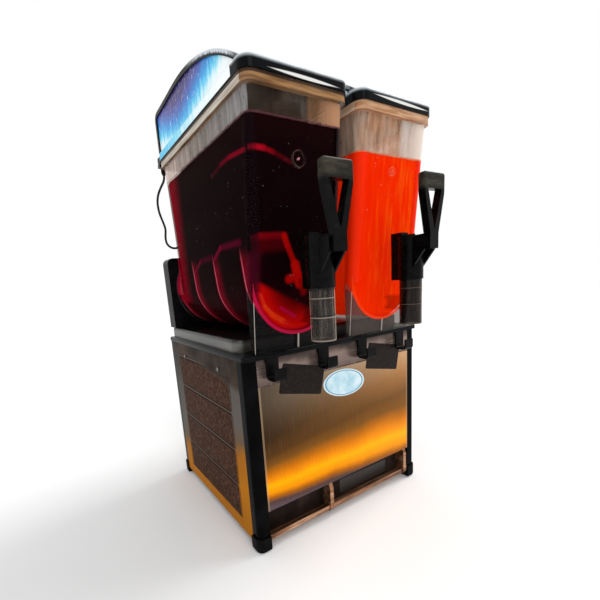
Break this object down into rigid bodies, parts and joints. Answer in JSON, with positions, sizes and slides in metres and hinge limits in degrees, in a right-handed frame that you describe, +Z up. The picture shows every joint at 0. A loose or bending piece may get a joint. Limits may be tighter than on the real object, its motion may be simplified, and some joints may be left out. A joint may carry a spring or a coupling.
{
  "type": "slush machine",
  "caption": "Countertop slush machine with paired clear bowls, mixing screws, lever taps, lit arched lids and a slotted cabinet that holds the cooling set.",
  "frame": {"origin": "on the floor under the centre of the machine's bounding box", "axes": "+Z up, -Y towards the taps, +X to the right of someone facing the taps from the front"},
  "size_m": [0.406, 0.497, 0.7918],
  "materials": {
    "post_black": "semi-gloss black",
    "foot_rubber": "matte",
    "grille_steel": "slotted, dark reflections",
    "front_steel": "brushed stainless with warm reflections",
    "kick_dark": "satin",
    "pan_bronze": "satin bronze",
    "tray_black": "gloss",
    "deck_steel": "brushed",
    "hook_black": "satin",
    "label_card": "blank printed card",
    "tower_black": "satin",
    "motor_grey": "satin",
    "compressor_black": "satin",
    "fin_aluminium": "plain",
    "fan_black": "satin",
    "pipe_copper": "plain copper",
    "inlet_black": "satin",
    "switch_black": "gloss",
    "drum_steel": "brushed",
    "shaft_steel": "ground",
    "screw_white": "semi-gloss",
    "gasket_grey": "matte",
    "bowl_clear": "clear",
    "drink_dark": "wet",
    "drink_orange": "wet",
    "lid_black": "gloss",
    "panel_blue": "translucent",
    "lamp_white": "frosted",
    "tap_black": "satin",
    "spring_steel": "drawn",
    "screw_steel": "plain",
    "cord_black": "matte"
  },
  "bodies": {
    "cabinet": {"base_pan": "pan_bronze", "kick_plate": "kick_dark", "corner_posts": "post_black", "feet": "foot_rubber", "front_panel": "front_steel", "front_fascia": "front_steel", "rear_panel": "grille_steel", "top_tray": "tray_black", "deck_pan": "deck_steel", "tray_hooks": "hook_black", "blank_labels": "label_card", "tower_housing": "tower_black", "tower_back_cover": "tower_black", "compressor": "compressor_black", "condenser": "fin_aluminium", "fan_motor": "motor_grey", "refrigerant_pipes": "pipe_copper", "mains_inlet": "inlet_black", "lamp_lead": "cord_black", "lamp_plug": "tap_black", "panel_screws": "screw_steel", "side_panel_left": "grille_steel", "side_panel_right": "grille_steel", "gearmotor_left": "motor_grey", "gearmotor_right": "motor_grey", "evaporator_left": "drum_steel", "evaporator_right": "drum_steel", "bowl_gasket_left": "gasket_grey", "bowl_gasket_right": "gasket_grey"},
    "bowl_left": {"bowl_left": "bowl_clear", "drink_left": "drink_dark", "tap_body_left": "tap_black", "pivot_pin_left": "shaft_steel", "return_spring_left": "spring_steel", "nozzle_left": "bowl_clear"},
    "lid_left": {"lid_frame_left": "lid_black", "lid_cover_left": "lid_black", "light_panels_left": "panel_blue", "lamp_tube_left": "lamp_white"},
    "lever_left": {"tap_lever_left": "tap_black"},
    "piston_left": {"tap_piston_left": "tap_black"},
    "mixer_left": {"auger_left": "screw_white", "drive_shaft_left": "shaft_steel"},
    "bowl_right": {"bowl_right": "bowl_clear", "drink_right": "drink_orange", "tap_body_right": "tap_black", "pivot_pin_right": "shaft_steel", "return_spring_right": "spring_steel", "nozzle_right": "bowl_clear"},
    "lid_right": {"lid_frame_right": "lid_black", "lid_cover_right": "lid_black", "light_panels_right": "panel_blue", "lamp_tube_right": "lamp_white"},
    "lever_right": {"tap_lever_right": "tap_black"},
    "piston_right": {"tap_piston_right": "tap_black"},
    "mixer_right": {"auger_right": "screw_white", "drive_shaft_right": "shaft_steel"},
    "fan": {"fan_blade": "fan_black"},
    "power_rocker": {"power_switch": "switch_black"},
    "light_rocker": {"light_switch": "switch_black"}
  },
  "joints": [
    {"name": "bowl_left_pull", "type": "slide", "parent": "cabinet", "child": "bowl_left", "axis": [0, -1, 0], "range_m": [0, 0.36]},
    {"name": "lid_left_lift", "type": "slide", "parent": "bowl_left", "child": "lid_left", "axis": [0, 0, 1], "range_m": [0, 0.2]},
    {"name": "lever_left_pull", "type": "hinge", "parent": "bowl_left", "child": "lever_left", "pos_m": [-0.0985, -0.2295, 0.488], "axis": [1, 0, 0], "range_deg": [0, 30], "stiffness_Nm_per_rad": 0.6, "springref_deg": -17.19},
    {"name": "piston_left_lift", "type": "slide", "parent": "bowl_left", "child": "piston_left", "axis": [0, 0, 1], "range_m": [0, 0.0125], "deforming": ["return_spring_left"]},
    {"name": "mixer_left_turn", "type": "hinge", "parent": "cabinet", "child": "mixer_left", "pos_m": [-0.0985, 0.0425, 0.444], "axis": [0, 1, 0], "continuous": true},
    {"name": "bowl_right_pull", "type": "slide", "parent": "cabinet", "child": "bowl_right", "axis": [0, -1, 0], "range_m": [0, 0.36]},
    {"name": "lid_right_lift", "type": "slide", "parent": "bowl_right", "child": "lid_right", "axis": [0, 0, 1], "range_m": [0, 0.2]},
    {"name": "lever_right_pull", "type": "hinge", "parent": "bowl_right", "child": "lever_right", "pos_m": [0.0985, -0.2295, 0.488], "axis": [1, 0, 0], "range_deg": [0, 30], "stiffness_Nm_per_rad": 0.6, "springref_deg": -17.19},
    {"name": "piston_right_lift", "type": "slide", "parent": "bowl_right", "child": "piston_right", "axis": [0, 0, 1], "range_m": [0, 0.0125], "deforming": ["return_spring_right"]},
    {"name": "mixer_right_turn", "type": "hinge", "parent": "cabinet", "child": "mixer_right", "pos_m": [0.0985, 0.0425, 0.444], "axis": [0, 1, 0], "continuous": true},
    {"name": "fan_turn", "type": "hinge", "parent": "cabinet", "child": "fan", "pos_m": [-0.141, 0.0425, 0.14], "axis": [1, 0, 0], "continuous": true},
    {"name": "power_rocker_tilt", "type": "hinge", "parent": "cabinet", "child": "power_rocker", "pos_m": [-0.022, 0.2415, 0.455], "axis": [1, 0, 0], "range_deg": [0, 20]},
    {"name": "light_rocker_tilt", "type": "hinge", "parent": "cabinet", "child": "light_rocker", "pos_m": [0.022, 0.2415, 0.455], "axis": [1, 0, 0], "range_deg": [0, 20]}
  ],
  "couplings": [
    {"joint": "piston_left_lift", "follows": "lever_left_pull", "m_per_rad": 0.0235},
    {"joint": "piston_right_lift", "follows": "lever_right_pull", "m_per_rad": 0.0235}
  ]
}
